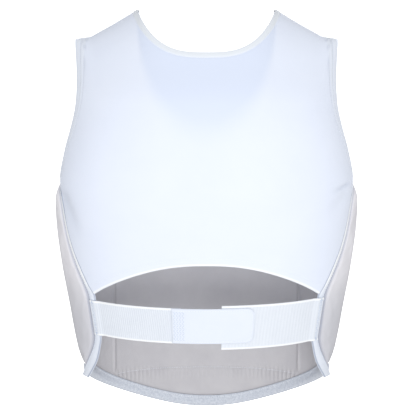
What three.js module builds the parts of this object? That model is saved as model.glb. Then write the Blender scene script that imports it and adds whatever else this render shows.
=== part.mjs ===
// Karate chest protector: padded front and sides, stretch cloth over back and shoulders, elastic closure.
//
// Millimetres. The wearer looks along -Y, so +Y is the back, and Z = 0 is the top of the shoulder ridges.
// "drop" is a distance below Z = 0. An "angle" runs round the body in degrees: 0 at the middle of the
// front, 90 at the side with +X, 180 at the middle of the back. "out" is a distance off the body form,
// away from the wearer.
import * as THREE from 'three';

// Body form: one row for each level section, with half width, depth behind and ahead of the ridges, and
// the exponent that makes the oval squarer.
const SECTIONS = [
  { drop: 0, half: 170, back: 92, front: 92, square: 2.3 },
  { drop: 63, half: 170, back: 98, front: 98, square: 2.3 },
  { drop: 115, half: 172, back: 111, front: 106, square: 2.3 },
  { drop: 177, half: 183.5, back: 117, front: 113, square: 2.35 },
  { drop: 219, half: 189.5, back: 117, front: 116, square: 2.4 },
  { drop: 261, half: 186.5, back: 114, front: 117, square: 2.4 },
  { drop: 325, half: 178.6, back: 107, front: 117, square: 2.4 },
  { drop: 390, half: 167.5, back: 102, front: 116, square: 2.35 },
  { drop: 433, half: 161.5, back: 100, front: 115, square: 2.3 },
  { drop: 470, half: 158, back: 99, front: 114, square: 2.3 },
  { drop: 560, half: 151, back: 98, front: 108, square: 2.3 },
];

// Rear edge of each side pad: the pad ends at angle "pad" and its tape ends at angle "tape".
const SEAM = [
  { drop: 226, pad: 92.5, tape: 95 },
  { drop: 238, pad: 96.5, tape: 99.6 },
  { drop: 258, pad: 98.6, tape: 101.8 },
  { drop: 279, pad: 100.6, tape: 103.8 },
  { drop: 304, pad: 103.8, tape: 106.8 },
  { drop: 325, pad: 107.2, tape: 110.2 },
  { drop: 346, pad: 110.6, tape: 113.6 },
  { drop: 360, pad: 112, tape: 116 },
  { drop: 412, pad: 111.5, tape: 116 },
  { drop: 430, pad: 109, tape: 114 },
  { drop: 447, pad: 104.6, tape: 111 },
  { drop: 462, pad: 99.2, tape: 106.2 },
  { drop: 476, pad: 94, tape: 100.5 },
];

// Armhole edges above the seam, on the back panel and on the front yoke.
const BACK_ARMHOLE = [
  { drop: 38, angle: 96 },
  { drop: 60, angle: 99 },
  { drop: 110, angle: 103 },
  { drop: 150, angle: 101.5 },
  { drop: 190, angle: 96.8 },
  { drop: 212, angle: 95 },
  { drop: 226, angle: 95 },
];
const FRONT_ARMHOLE = [
  { drop: 38, angle: 84 },
  { drop: 60, angle: 77 },
  { drop: 90, angle: 69 },
  { drop: 130, angle: 63.5 },
  { drop: 172, angle: 61.5 },
];
const YOKE_TAPER = 1.3;

// Levels at which the pads, the tape and the back panel meet, and the back panel's levels above them.
const SEAM_LEVELS = [
  476, 459, 451, 444, 437, 430, 421, 412, 386, 360, 346, 332,
  318, 304, 291, 279, 268, 258, 250, 244, 238, 232, 226,
];
const ARMHOLE_LEVELS = [208, 190, 170, 150, 130, 110, 94, 80, 68, 58, 50, 44, 40, 38];
const YOKE_LEVELS = [172, 158, 144, 130, 115, 100, 86, 73, 61, 51, 44, 40, 38];

// Neck and shoulders: the neckline is shallow behind and a deep scoop in front. The ridge falls from the
// neck point, then flattens towards the armhole. The cloth starts to round over to it at SHOULDER_START.
const NECK_HALF = 88;
const NECK_EASE = 40;
const BACK_NECK = { drop: 51.5, power: 3, bow: 1 };
const FRONT_NECK = { drop: 147, power: 2.2, bow: 0.47 };
const RIDGE = [
  { from: NECK_HALF, drop: 0 },
  { from: 118, drop: 18.5 },
  { from: 147, drop: 34.5 },
  { from: 170, drop: 38 },
];
const SHOULDER_START = 150;

// Lower edges: the arch of the back panel and the curved hem of the front.
const ARCH = { top: 313.2, rise: 43, power: 2.6 };
const HEM = { low: 552, rise: 76, corner: 94, bow: 2.25, ease: 1.4 };

// Pads: the plate spans the front up to PLATE_ANGLE, its foam ends level at PLATE_FOOT and a flat apron
// goes on to the hem.
const PLATE_ANGLE = 61.5;
const PLATE_TOP = 172;
const PLATE_FOOT = 498;
const ARMPIT_POWER = 2.2;
const PAD_INNER = -3;
const PAD_EDGE = 2;
const PAD_CROWN = { plate: 14, side: 11 };
const PAD_REACH = 22;
const END_REACH = 60;
const HEM_HEIGHT = 13.8;
const HEM_FLANGE = 17;

// Cloth, tape and elastic thicknesses, and the gap between neighbours.
const GAP = 0.4;
const LINING_GAP = 0.95;
const CLOTH = 2;
const HEM_FOLD = { width: 9, extra: 0.8 };
const LINING = 1.2;
const LINING_PLEAT = { depth: 2.2, halfAngle: 1.3 };
const TAPE = 2.2;
const TAPE_TIP = { start: 425, pad: 3.2, free: -2 };
const BINDING = 1.2;
const ELASTIC = 1.6;
const TAB_THICK = 2.2;

// Closure strap: middle level at its sewn ends, its sag, and how far each piece reaches across the back.
const STRAP = { level: 388, sag: 3.5 };
const LEFT_ELASTIC = { height: 45, end: 32, lower: 0 };
const RIGHT_ELASTIC = { height: 56, end: -19, lower: 2 };
const TAB = { height: 44.6, from: 43, to: -59, corner: 9, lower: -0.4 };

const COLOURS = { cloth: 0xf2f5fa, pad: 0xecebea, lining: 0xc9c9cd, tape: 0xe9ecf2, elastic: 0xe4e8f0 };

const radians = THREE.MathUtils.degToRad;
const mix = THREE.MathUtils.lerp;
const clamp = THREE.MathUtils.clamp;

// Value of one column of a table at a drop, on a smooth curve that never overshoots its rows.
function column(table, name, drop) {
  const last = table.length - 1;
  const at = clamp(drop, table[0].drop, table[last].drop);
  const row = Math.max(1, table.findIndex((entry) => entry.drop >= at));
  const slope = (k) => (table[k][name] - table[k - 1][name]) / (table[k].drop - table[k - 1].drop);
  const tangent = (k) => {
    if (k === 0 || k === last) {
      return slope(Math.max(k, 1));
    }
    const product = slope(k) * slope(k + 1);
    return product > 0 ? (2 * product) / (slope(k) + slope(k + 1)) : 0;
  };
  const width = table[row].drop - table[row - 1].drop;
  const t = (at - table[row - 1].drop) / width;
  const start = (2 * t - 3) * t * t + 1;
  const lead = ((t - 2) * t + 1) * t * width;
  const trail = (t - 1) * t * t * width;
  const ends = start * table[row - 1][name] + (1 - start) * table[row][name];
  return ends + lead * tangent(row - 1) + trail * tangent(row);
}

// Evenly spaced steps from 0 to 1, and steps that crowd towards both ends.
const even = (count) => Array.from({ length: count + 1 }, (_, i) => i / count);
const crowded = (count) => even(count).map((step) => (1 - Math.cos(Math.PI * step)) / 2);

// Steps across the plate and across a side pad, which the lining behind them shares.
const PLATE_HALF = even(6).map((step) => Math.sin((step * Math.PI) / 2));
const PLATE_STEPS = [...PLATE_HALF.slice(1).reverse().map((step) => -step), ...PLATE_HALF];
const SIDE_STEPS = crowded(8);

// Point of the body form, its outward direction, and a point moved outwards from it.
function onBody(angle, drop) {
  const side = Math.sin(radians(angle));
  const ahead = Math.cos(radians(angle));
  const power = column(SECTIONS, 'square', drop);
  const depth = column(SECTIONS, ahead > 0 ? 'front' : 'back', drop);
  const across = Math.abs(side / column(SECTIONS, 'half', drop)) ** power;
  const radius = (across + Math.abs(ahead / depth) ** power) ** (-1 / power);
  return new THREE.Vector3(radius * side, -radius * ahead, -drop);
}

function outward(angle, drop) {
  const round = onBody(angle + 0.5, drop).sub(onBody(angle - 0.5, drop));
  const down = onBody(angle, drop + 1).sub(onBody(angle, drop - 1));
  return down.cross(round).normalize();
}

function offBody({ angle, drop }, out) {
  return onBody(angle, drop).addScaledVector(outward(angle, drop), out);
}

// Turn of the angle that covers a length along the body at a drop.
function turn(length, angle, drop) {
  return length / onBody(angle + 0.5, drop).distanceTo(onBody(angle - 0.5, drop));
}

// Closed mesh from triangles, turned so that its faces look outwards.
function closedMesh(name, colour, points, triangles) {
  const volume = triangles.reduce((sum, [a, b, c]) => {
    return sum + points[a].dot(new THREE.Vector3().crossVectors(points[b], points[c]));
  }, 0);
  const faces = volume > 0 ? triangles : triangles.map(([a, b, c]) => [a, c, b]);
  const geometry = new THREE.BufferGeometry().setFromPoints(points);
  geometry.setIndex(faces.flat());
  geometry.computeVertexNormals();
  const material = new THREE.MeshStandardMaterial({ color: colour, roughness: 0.85, metalness: 0 });
  const mesh = new THREE.Mesh(geometry, material);
  mesh.name = name;
  return mesh;
}

// Wall between an outer and an inner grid of points, closed round its border.
function wall(name, colour, grid) {
  const across = grid[0].length;
  const points = grid.flat().flatMap((pair) => [pair.outer, pair.inner]);
  const index = ([row, spot], face) => 2 * (row * across + spot) + face;
  const triangles = [];
  const quad = (a, b, c, d) => {
    const shorter = points[a].distanceTo(points[c]) <= points[b].distanceTo(points[d]);
    triangles.push(...(shorter ? [[a, b, c], [a, c, d]] : [[a, b, d], [b, c, d]]));
  };
  for (let row = 0; row < grid.length - 1; row += 1) {
    for (let spot = 0; spot < across - 1; spot += 1) {
      const corners = [[row, spot], [row, spot + 1], [row + 1, spot + 1], [row + 1, spot]];
      quad(...corners.map((corner) => index(corner, 0)));
      quad(...corners.map((corner) => index(corner, 1)).reverse());
    }
  }
  const border = [];
  for (let spot = 0; spot < across - 1; spot += 1) {
    border.push([0, spot]);
  }
  for (let row = 0; row < grid.length - 1; row += 1) {
    border.push([row, across - 1]);
  }
  for (let spot = across - 1; spot > 0; spot -= 1) {
    border.push([grid.length - 1, spot]);
  }
  for (let row = grid.length - 1; row > 0; row -= 1) {
    border.push([row, 0]);
  }
  border.forEach((from, i) => {
    const to = border[(i + 1) % border.length];
    quad(index(to, 0), index(from, 0), index(from, 1), index(to, 1));
  });
  return closedMesh(name, colour, points, triangles);
}

// Wall that follows the body form: "where" gives angle, drop and the two distances off the form.
function bodyWall(name, colour, across, up, where) {
  const pair = (spot) => ({ outer: offBody(spot, spot.outer), inner: offBody(spot, spot.inner) });
  return wall(name, colour, up.map((v) => across.map((u) => pair(where(u, v)))));
}

// Strip with one cross section, given in (drop, out) steps, carried along a line on the body.
function bodySweep(name, colour, line, section) {
  const rings = line.map(({ angle, drop }) => {
    return section.map(([lower, out]) => offBody({ angle, drop: drop + lower }, out));
  });
  const points = rings.flat();
  const sides = section.length;
  const triangles = [];
  for (let ring = 0; ring < rings.length - 1; ring += 1) {
    for (let side = 0; side < sides; side += 1) {
      const a = ring * sides + side;
      const b = ring * sides + ((side + 1) % sides);
      triangles.push([a, b, b + sides], [a, b + sides, a + sides]);
    }
  }
  const outline = section.map(([lower, out]) => new THREE.Vector2(lower, out));
  const end = points.length - sides;
  THREE.ShapeUtils.triangulateShape(outline, []).forEach((corners) => {
    const [a, b, c] = corners.sort((p, q) => p - q);
    triangles.push([a, c, b], [end + a, end + b, end + c]);
  });
  return closedMesh(name, colour, points, triangles);
}

// Edges of the cloth and of the front.
function ridgeDrop(x) {
  const next = Math.max(1, RIDGE.findIndex((entry) => entry.from >= x));
  const before = RIDGE[next - 1];
  const share = (x - before.from) / (RIDGE[next].from - before.from);
  return mix(before.drop, RIDGE[next].drop, clamp(share, 0, 1));
}

function topDrop(x, neck) {
  const across = Math.abs(x);
  const inside = 1 - (across / NECK_HALF) ** neck.power;
  return across < NECK_HALF ? neck.drop * inside ** neck.bow : ridgeDrop(across);
}

function archDrop(share) {
  return ARCH.top + ARCH.rise * Math.abs(share) ** ARCH.power;
}

function hemDrop(angle) {
  const share = Math.min(1, Math.abs(angle) / HEM.corner);
  return HEM.low - HEM.rise * (1 - (1 - share ** HEM.bow) ** HEM.ease);
}

// Share of the body form's depth that is left where the cloth rounds over to the ridge. Inside the neck the
// ridge line goes on, easing to level, and the neckline is cut out of that surface.
function shoulderRounding(x, start, drop) {
  const [neckPoint, next] = RIDGE;
  const slope = (next.drop - neckPoint.drop) / (next.from - neckPoint.from);
  const inside = clamp((NECK_HALF - x) / NECK_EASE, 0, 1);
  const rise = slope * NECK_EASE * (inside - inside ** 2 / 2);
  const ridge = ridgeDrop(Math.max(x, NECK_HALF)) - rise;
  return Math.sqrt(1 - clamp((start - drop) / (start - ridge), 0, 1) ** 2);
}

// Step across the cloth at which the neck point lies.
function neckStep() {
  const depth = SECTIONS[0].back;
  const power = SECTIONS[0].square;
  const behind = depth * (1 - (NECK_HALF / SECTIONS[0].half) ** power) ** (1 / power);
  return Math.atan2(NECK_HALF, behind) / radians(180 - BACK_ARMHOLE[0].angle);
}

// Steps across the cloth from edge to edge, with a column at each neck point and one at each hem fold.
function clothSteps() {
  const neck = neckStep();
  const inner = PLATE_HALF.map((step) => neck * step);
  const outer = [0.25, 0.5, 0.72, 0.88].map((step) => mix(neck, 1, step));
  const half = [...inner, ...outer, 0.955, 0.962, 1];
  return [...half.slice(1).reverse().map((step) => -step), ...half];
}

// Cloth panel of the back or of the front, from its lower edge up to the neckline and the ridges.
function clothPanel(name, panel) {
  const across = clothSteps();
  const lowest = panel.levels[0];
  const highest = panel.levels[panel.levels.length - 1];
  const middle = panel.levels.map((level) => across.map((step) => {
    const climb = (lowest - level) / (lowest - highest);
    const topX = Math.abs(onBody(panel.angle(step, panel.edge(highest)), 0).x);
    const drop = mix(panel.foot(step), topDrop(topX, panel.neck), climb);
    const point = onBody(panel.angle(step, panel.edge(level)), drop);
    point.y *= shoulderRounding(topX, panel.start, drop);
    return point;
  }));
  const lastRow = middle.length - 1;
  const lastSpot = across.length - 1;
  const grid = middle.map((row, r) => row.map((point, c) => {
    const along = row[Math.min(c + 1, lastSpot)].clone().sub(row[Math.max(c - 1, 0)]);
    const up = middle[Math.min(r + 1, lastRow)][c].clone().sub(middle[Math.max(r - 1, 0)][c]);
    const out = new THREE.Vector3().crossVectors(along, up);
    const onNeck = Math.abs(point.x) < NECK_HALF - 1;
    if (r === lastRow && !onNeck) {
      out.y = 0;
      point.y += panel.side * (GAP / 2);
    }
    out.normalize();
    out.multiplyScalar(out.dot(new THREE.Vector3(0, panel.side, 1)) > 0 ? 1 : -1);
    const edgeHem = panel.levels[r] < SEAM[0].drop && (c < 2 || c > lastSpot - 2);
    const endHem = panel.hemmedEnds && (r < 2 || (onNeck && r > lastRow - 2));
    const extra = edgeHem || endHem ? HEM_FOLD.extra : 0;
    return {
      outer: point.clone().addScaledVector(out, CLOTH / 2 + extra),
      inner: point.clone().addScaledVector(out, -CLOTH / 2),
    };
  }));
  return wall(name, COLOURS.cloth, grid);
}

function backPanel() {
  const lowest = ARCH.top + ARCH.rise;
  const seamLevels = SEAM_LEVELS.filter((level) => level < lowest - HEM_FOLD.width);
  const edge = (level) => {
    const seam = level >= SEAM[0].drop;
    const angle = seam ? column(SEAM, 'tape', level) : column(BACK_ARMHOLE, 'angle', level);
    return angle + turn(GAP, angle, level);
  };
  return clothPanel('back_panel', {
    side: 1,
    levels: [lowest, lowest - HEM_FOLD.width, ...seamLevels, ...ARMHOLE_LEVELS],
    angle: (step, edgeAngle) => 180 - step * (180 - edgeAngle),
    edge,
    foot: archDrop,
    neck: BACK_NECK,
    start: SHOULDER_START,
    hemmedEnds: true,
  });
}

// The yoke follows its armholes beside the neck. Below the neckline its columns run straight down.
function frontYoke() {
  const neck = neckStep();
  const widest = FRONT_ARMHOLE[0].angle;
  return clothPanel('front_yoke', {
    side: -1,
    levels: YOKE_LEVELS,
    angle: (step, edgeAngle) => {
      const beside = clamp((Math.abs(step) - neck) / (1 - neck), 0, 1) ** YOKE_TAPER;
      return step * widest + Math.sign(step) * (edgeAngle - widest) * beside;
    },
    edge: (level) => column(FRONT_ARMHOLE, 'angle', level),
    foot: () => PLATE_TOP - 1.5 * GAP,
    neck: FRONT_NECK,
    start: PLATE_TOP,
    hemmedEnds: false,
  });
}

// Puffed height of a pad at a distance from its nearest sewn edge.
function puff(distance, crown) {
  const share = clamp(distance / PAD_REACH, 0, 1);
  return PAD_EDGE + (crown - PAD_EDGE) * Math.sqrt(1 - (1 - share) ** 2);
}

// Lengths along the body are taken on this mean radius where only the puff of a pad depends on them.
const MEAN_RADIUS = 150;
const arc = (degrees) => radians(Math.abs(degrees)) * MEAN_RADIUS;

function frontPad() {
  const apron = even(2).slice(0, 2).map((step) => ({ from: 'hem', step }));
  const plate = crowded(15).map((step) => ({ from: 'foot', step }));
  const edge = PLATE_ANGLE - turn(GAP / 2, PLATE_ANGLE, PLATE_FOOT);
  return bodyWall('front_pad', COLOURS.pad, PLATE_STEPS, [...apron, ...plate], (u, v) => {
    const angle = u * edge;
    const onApron = v.from === 'hem';
    const drop = onApron ? mix(hemDrop(angle), PLATE_FOOT, v.step) : mix(PLATE_FOOT, PLATE_TOP, v.step);
    const distance = onApron ? 0 : Math.min(PLATE_FOOT - drop, drop - PLATE_TOP, arc(edge - Math.abs(angle)));
    return { angle, drop, outer: puff(distance, PAD_CROWN.plate), inner: PAD_INNER };
  });
}

// Spot of a side pad: u runs from the plate to the rear edge, "level" is the drop at the rear edge. The
// lowest strip, which the hem binding covers, keeps its height all along the hem.
function sideSpot(u, level) {
  const lowest = SEAM_LEVELS[0];
  const foot = hemDrop(mix(PLATE_ANGLE, column(SEAM, 'pad', lowest), u));
  const top = mix(SEAM[0].drop, PLATE_TOP, (1 - u) ** ARMPIT_POWER);
  const bound = lowest - HEM_FLANGE;
  const climb = (bound - level) / (bound - SEAM[0].drop);
  return {
    angle: mix(PLATE_ANGLE, column(SEAM, 'pad', level), u),
    drop: level > bound ? foot - (lowest - level) : mix(foot - HEM_FLANGE, top, climb),
    top,
  };
}

function sidePad(name, side) {
  return bodyWall(name, COLOURS.pad, SIDE_STEPS, SEAM_LEVELS, (u, level) => {
    const spot = sideSpot(u, level);
    const rear = column(SEAM, 'pad', level);
    const inset = turn(GAP / 2, spot.angle, spot.drop);
    const angle = clamp(spot.angle, PLATE_ANGLE + inset, rear - inset);
    const toSides = Math.min(arc(spot.angle - PLATE_ANGLE), arc(rear - spot.angle));
    const toEnds = Math.min(hemDrop(spot.angle) - HEM_FLANGE - spot.drop, spot.drop - spot.top);
    const distance = Math.max(0, Math.min(toSides, (toEnds * PAD_REACH) / END_REACH));
    return { angle: side * angle, drop: spot.drop, outer: puff(distance, PAD_CROWN.side), inner: PAD_INNER };
  });
}

// Drop on the plate of a lining row, which meets the side pad's row of the same level.
function plateDrop(angle, level) {
  const bound = SEAM_LEVELS[0] - HEM_FLANGE;
  const climb = (bound - level) / (bound - SEAM[0].drop);
  const foot = hemDrop(angle);
  return level > bound ? foot - (SEAM_LEVELS[0] - level) : mix(foot - HEM_FLANGE, PLATE_TOP, climb);
}

// Lining: one wall inside all three pads, with a pleat along each edge of the plate down to the binding.
function lining() {
  const plate = PLATE_HALF.slice(0, -1).map((step) => step * PLATE_ANGLE);
  const inner = [...plate, PLATE_ANGLE - LINING_PLEAT.halfAngle, PLATE_ANGLE];
  const half = [...inner.map((angle) => ({ angle })), ...SIDE_STEPS.slice(1).map((u) => ({ u }))];
  const mirrored = half.slice(1).reverse().map((spot) => ({ ...spot, mirror: true }));
  return bodyWall('lining', COLOURS.lining, [...mirrored, ...half], SEAM_LEVELS, (spot, level) => {
    const side = spot.mirror ? -1 : 1;
    const onPlate = spot.angle !== undefined;
    const place = onPlate
      ? { angle: spot.angle, drop: plateDrop(spot.angle, level) }
      : sideSpot(spot.u, level);
    const pleated = place.angle === PLATE_ANGLE && level < SEAM_LEVELS[0] - HEM_FLANGE;
    const fold = pleated ? LINING_PLEAT.depth : 0;
    const outer = PAD_INNER - LINING_GAP;
    return { angle: side * place.angle, drop: place.drop, outer, inner: outer - LINING - fold };
  });
}

// Tape along the rear edge of a side pad. Its lower end turns to face backwards.
function sideTape(name, side) {
  return bodyWall(name, COLOURS.tape, [0, 1], SEAM_LEVELS, (u, level) => {
    const start = column(SEAM, 'pad', level) + turn(GAP, 100, level);
    const end = column(SEAM, 'tape', level) - turn(GAP / 2, 100, level);
    const down = Math.max(0, (level - TAPE_TIP.start) / (SEAM_LEVELS[0] - TAPE_TIP.start));
    const lift = down * mix(TAPE_TIP.pad, TAPE_TIP.free, u);
    return { angle: side * mix(start, end, u), drop: level, outer: lift + TAPE / 2, inner: lift - TAPE / 2 };
  });
}

// Hem binding: a folded tape over the lower edge of the apron, the side pads and the lining.
function hemBinding() {
  const rear = column(SEAM, 'pad', SEAM_LEVELS[0]);
  const corner = rear - GAP;
  const half = [
    ...PLATE_HALF.map((step) => step * PLATE_ANGLE),
    ...SIDE_STEPS.slice(1).map((step) => Math.min(corner, mix(PLATE_ANGLE, rear, step))),
  ];
  const angles = [...half.slice(1).reverse().map((angle) => -angle), ...half];
  const line = angles.map((angle) => ({ angle, drop: hemDrop(angle) }));
  const outside = PAD_EDGE + LINING_GAP + GAP;
  const below = LINING_GAP;
  const inside = PAD_INNER - LINING_GAP - LINING - 3 * GAP;
  return bodySweep('hem_binding', COLOURS.tape, line, [
    [-HEM_HEIGHT, outside],
    [below, outside],
    [below, inside],
    [-HEM_HEIGHT, inside],
    [-HEM_HEIGHT, inside - BINDING],
    [below + BINDING, inside - BINDING],
    [below + BINDING, outside + BINDING],
    [-HEM_HEIGHT, outside + BINDING],
  ]);
}

// Angle of the point of the back that lies at x, at the level of the strap.
function backAngle(x, drop) {
  const power = column(SECTIONS, 'square', drop);
  const half = column(SECTIONS, 'half', drop);
  const behind = column(SECTIONS, 'back', drop) * (1 - Math.abs(x / half) ** power) ** (1 / power);
  return 180 - THREE.MathUtils.radToDeg(Math.atan2(x, behind));
}

function strapLevel(angle) {
  const start = column(SEAM, 'tape', STRAP.level);
  return STRAP.level + STRAP.sag * (1 - ((180 - angle) / (180 - start)) ** 2);
}

function elastic(name, side, strap) {
  const end = backAngle(strap.end, STRAP.level);
  return bodyWall(name, COLOURS.elastic, even(14), [0.5, 0.39, 0, -0.5], (u, v) => {
    const level = STRAP.level + strap.lower + v * strap.height;
    const tape = column(SEAM, 'tape', level);
    const sewn = tape + turn(GAP, tape, level);
    const angle = mix(side > 0 ? sewn : 360 - sewn, end, u);
    const drop = strapLevel(angle) + strap.lower + v * strap.height;
    return { angle, drop, outer: ELASTIC / 2, inner: -ELASTIC / 2 };
  });
}

// Closure tab: lies over both elastics and has its far corners rounded.
function closureTab() {
  const rounding = [0, 0.03, 0.07, 0.13, 0.21, 0.34, 0.48, 0.62, 0.76, 0.88, 0.96, 1];
  const length = TAB.from - TAB.to;
  const outer = ELASTIC / 2 + GAP + TAB_THICK;
  return bodyWall('closure_tab', COLOURS.tape, rounding.reverse(), [0.5, 0.25, 0, -0.25, -0.5], (u, v) => {
    const x = mix(TAB.to, TAB.from, u);
    const angle = backAngle(x, STRAP.level);
    const intoCorner = clamp(1 - (u * length) / TAB.corner, 0, 1);
    const cut = TAB.corner * (1 - Math.sqrt(1 - intoCorner ** 2));
    const drop = strapLevel(angle) + TAB.lower + v * (TAB.height - 2 * cut);
    return { angle, drop, outer, inner: outer - TAB_THICK };
  });
}

const protector = new THREE.Group();
protector.add(backPanel());
protector.add(frontYoke());
protector.add(frontPad());
protector.add(sidePad('side_pad_left', 1));
protector.add(sidePad('side_pad_right', -1));
protector.add(lining());
protector.add(sideTape('side_tape_left', 1));
protector.add(sideTape('side_tape_right', -1));
protector.add(hemBinding());
protector.add(elastic('elastic_left', 1, LEFT_ELASTIC));
protector.add(elastic('elastic_right', -1, RIGHT_ELASTIC));
protector.add(closureTab());

export default protector;
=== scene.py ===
"""Karate chest protector: the looks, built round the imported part.

The tables hold millimetres, and meshes are written in metres. The wearer looks along -Y, so +Y is the
back, and Z = 0 is the top of the shoulder ridges. "drop" is a distance below Z = 0. An "angle" runs round
the body in degrees: 0 at the middle of the front, 90 at the side with +X, 180 at the middle of the back.
"out" is a distance off the body form, away from the wearer.
"""
import bpy
import numpy as np
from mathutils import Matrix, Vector


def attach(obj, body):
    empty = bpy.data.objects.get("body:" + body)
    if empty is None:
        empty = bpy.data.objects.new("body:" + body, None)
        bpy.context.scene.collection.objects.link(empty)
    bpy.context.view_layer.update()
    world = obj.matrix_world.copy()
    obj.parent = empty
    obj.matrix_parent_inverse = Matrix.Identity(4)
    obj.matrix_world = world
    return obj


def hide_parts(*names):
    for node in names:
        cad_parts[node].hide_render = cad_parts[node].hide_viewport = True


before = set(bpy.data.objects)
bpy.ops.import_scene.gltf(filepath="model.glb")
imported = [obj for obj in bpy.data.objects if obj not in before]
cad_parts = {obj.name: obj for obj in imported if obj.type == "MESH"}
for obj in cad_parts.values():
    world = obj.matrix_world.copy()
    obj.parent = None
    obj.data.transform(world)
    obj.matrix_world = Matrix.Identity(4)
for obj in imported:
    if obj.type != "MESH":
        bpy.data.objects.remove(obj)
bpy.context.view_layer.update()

MM = 0.001
NEAR = 0.01
TINY = 1e-9


def table(names, *rows):
    """Rows of numbers as one array for each named column."""
    return dict(zip(names.split(), np.array(rows, float).T))


# Body form: one row for each level section
SECTIONS = table(
    "drop half back front square",
    (0, 170, 92, 92, 2.3),
    (63, 170, 98, 98, 2.3),
    (115, 172, 111, 106, 2.3),
    (177, 183.5, 117, 113, 2.35),
    (219, 189.5, 117, 116, 2.4),
    (261, 186.5, 114, 117, 2.4),
    (325, 178.6, 107, 117, 2.4),
    (390, 167.5, 102, 116, 2.35),
    (433, 161.5, 100, 115, 2.3),
    (470, 158, 99, 114, 2.3),
    (560, 151, 98, 108, 2.3),
)

# Rear edge of each side pad: the pad ends at angle "pad" and its tape ends at angle "tape"
SEAM = table(
    "drop pad tape",
    (226, 92.5, 95),
    (238, 96.5, 99.6),
    (258, 98.6, 101.8),
    (279, 100.6, 103.8),
    (304, 103.8, 106.8),
    (325, 107.2, 110.2),
    (346, 110.6, 113.6),
    (360, 112, 116),
    (412, 111.5, 116),
    (430, 109, 114),
    (447, 104.6, 111),
    (462, 99.2, 106.2),
    (476, 94, 100.5),
)
SEAM_TOP = SEAM["drop"][0]
SEAM_FOOT = SEAM["drop"][-1]
SEAM_ANGLE = 100

# Armhole edges above the seam
BACK_ARMHOLE = table(
    "drop angle",
    (38, 96),
    (60, 99),
    (110, 103),
    (150, 101.5),
    (190, 96.8),
    (212, 95),
    (226, 95),
)
FRONT_ARMHOLE = table(
    "drop angle",
    (38, 84),
    (60, 77),
    (90, 69),
    (130, 63.5),
    (172, 61.5),
)
YOKE_TAPER = 1.3

# Neck, shoulders and lower edges
NECK_HALF = 88
NECK_EASE = 40
BACK_NECK = {"drop": 51.5, "power": 3, "bow": 1}
FRONT_NECK = {"drop": 147, "power": 2.2, "bow": 0.47}
RIDGE = table("from drop", (NECK_HALF, 0), (118, 18.5), (147, 34.5), (170, 38))
RIDGE_FOOT = RIDGE["drop"][-1]
SHOULDER_START = 150
ARCH = {"top": 313.2, "rise": 43, "power": 2.6}
HEM = {"low": 552, "rise": 76, "corner": 94, "bow": 2.25, "ease": 1.4}

# Pads and the lining behind them
PLATE_ANGLE = 61.5
PLATE_TOP = 172
PLATE_FOOT = 498
ARMPIT_POWER = 2.2
PAD_INNER = -3
PAD_EDGE = 2
PAD_CROWN = {"plate": 14, "side": 11}
PAD_REACH = 22
END_REACH = 60
MEAN_RADIUS = 150
HEM_HEIGHT = 13.8
TUCK = {"reach": 2.5, "shut": 0.08, "rows": 8}
STITCH_ROW = 2.6
HEM_FLANGE = 17
FLANGE_TOP = SEAM_FOOT - HEM_FLANGE
LINING = 1.2
LINING_GAP = 0.95
LINING_OUT = PAD_INNER - LINING_GAP

# Cloth, tape and elastic
GAP = 0.4
CLOTH = 2
TAPE = 2.2
TAPE_TIP = {"start": 425, "pad": 3.2, "free": -2, "curl": 3, "power": 5}
TAPE_ROWS = {"places": (0.2, 0.8), "line": 0.07, "groove": 0.35, "sunk": 0.15}
TAPE_ROUND = {"edge": 0.9, "tip": 0.1, "crown": 0.4}
# Reach of the painted shade along the tape's edge at the pad and at the cloth
TAPE_SEAMS = {"pad": (1.4, 3.2), "cloth": (0.8, 2.2)}
# Painted light: the side tape is whiter above these drops
TAPE_FADE = (335, 362)
BINDING = 1.2
BINDING_ROW = {"depth": 0.45, "width": 0.9, "sunk": 0.25, "radius": 0.34}
ELASTIC = 1.6
TAB_THICK = 2.2
STRAP = {"level": 388, "sag": 3.5, "run": 132}
LEFT_ELASTIC = {"height": 45, "end": 32, "lower": 0, "rib": 2.8, "relief": 0.42}
RIGHT_ELASTIC = {"height": 56, "end": -19, "lower": 2, "rib": 4.3, "relief": 0.22}
TAB = {"height": 44.6, "from": 43, "to": -59, "corner": 9, "lower": -0.4, "sewn": 2.6}
CROSSES = {"rows": 4, "step": 3.6, "width": 3.2, "pitch": 2.6, "margin": 1, "radius": 0.36}
TAB_EDGE = {"fall": 0.6, "reach": 1.6, "groove": 0.3, "line": 0.8, "sunk": 0.25}
ROUND_EDGE = {"cloth": 0.35, "lining": 0.35, "pad": 0.2, "tape": 0.3, "elastic": 0.3, "tab": 0.25}

# Hems and stitches
NECK_HEM = {"width": 7.5, "puff": 0.55, "groove": 0.4, "line": 0.65, "rows": (7.5,), "tint": 1}
ARMHOLE_HEM = {"width": 16, "puff": 0.4, "groove": 0.5, "line": 1.2, "rows": (10, 16), "tint": 0.4}
ARCH_HEM = {"width": 9, "puff": 0.2, "groove": 0.12, "line": 0.65, "rows": (9,)}
SHOULDER_SEAM = {"width": 4, "puff": 0.3, "groove": 0.3, "line": 0.65, "rows": (4,)}
HEM_TURN = {"thick": 0.7, "ease": 1.5, "blur": 0.8}
# Painted shade in the stitched grooves of hems and on their turned edges
HEM_SHADE = {"line": 0.4, "edge": 0.12, "reach": 1.5}
ARMHOLE_FADE = 14
ROLL = (1.2, 3)
STITCH = {"length": 2.4, "gap": 0.9, "radius": 0.26}


def mix(low, high, share):
    return low + (high - low) * share


def smooth(low, high, value):
    """0 below low, 1 above high, with an easy rise between them."""
    share = np.clip((value - low) / (high - low), 0, 1)
    return share * share * (3 - 2 * share)


def fade(low, high, value):
    """1 below low, 0 above high, with an easy fall between them."""
    return 1 - smooth(low, high, value)


def bump(value, middle, width):
    """Bell of height 1 at the middle."""
    return np.exp(-(((value - middle) / width) ** 2))


def dome(share):
    """0 at both ends of a share, steep there, and 1 in its middle."""
    return np.sqrt(np.sin(np.pi * np.clip(share, 0, 1)) + TINY)


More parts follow.
